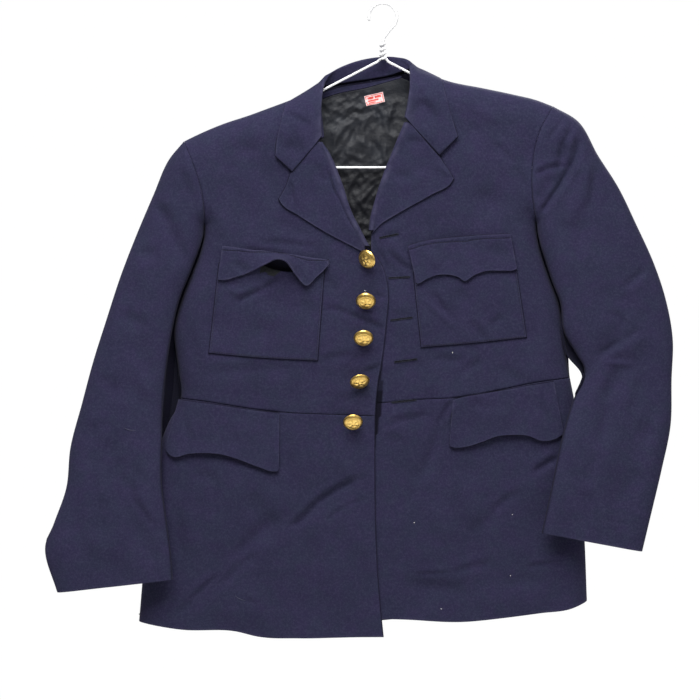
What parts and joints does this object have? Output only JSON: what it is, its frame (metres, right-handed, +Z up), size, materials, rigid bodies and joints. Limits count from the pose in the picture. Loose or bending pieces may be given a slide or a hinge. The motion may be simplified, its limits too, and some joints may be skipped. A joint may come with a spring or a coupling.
{
  "type": "military dress tunic on a wire hanger",
  "caption": "Navy wool dress tunic, hung open on a white wire hanger, with notched lapels, gilt domed buttons, patch breast pockets and scalloped flaps.",
  "frame": {"origin": "inside top of the hanger's hook, where it hangs on a rail", "axes": "+X to the right as the tunic is seen from the front, -Y out of the front, +Z up"},
  "size_m": [0.7982, 0.0761, 0.8152],
  "materials": {
    "serge": "matt navy wool serge with a fine twill and a slight nap",
    "satin": "creased black lining satin",
    "tape": "woven off-white label tape with red figures",
    "gilt_brass": "polished gilt, a little dulled in the recesses",
    "white_wire": "glossy white coating on steel wire"
  },
  "bodies": {
    "root": {"front_right_upper": "serge", "front_left_upper": "serge", "skirt_front_right": "serge", "skirt_front_left": "serge", "back_right": "serge", "back_left": "serge", "sleeve_right_top": "serge", "sleeve_right_under": "serge", "sleeve_left_top": "serge", "sleeve_left_under": "serge", "collar": "serge", "lapel_right": "serge", "lapel_left": "serge", "breast_pocket_right": "serge", "breast_pocket_left": "serge", "breast_flap_right": "serge", "breast_flap_left": "serge", "hip_flap_right": "serge", "hip_flap_left": "serge", "back_neck_facing": "serge", "back_lining": "satin", "size_label": "tape", "button_1": "gilt_brass", "button_2": "gilt_brass", "button_3": "gilt_brass", "button_4": "gilt_brass", "button_5": "gilt_brass", "hanger": "white_wire"}
  },
  "joints": []
}
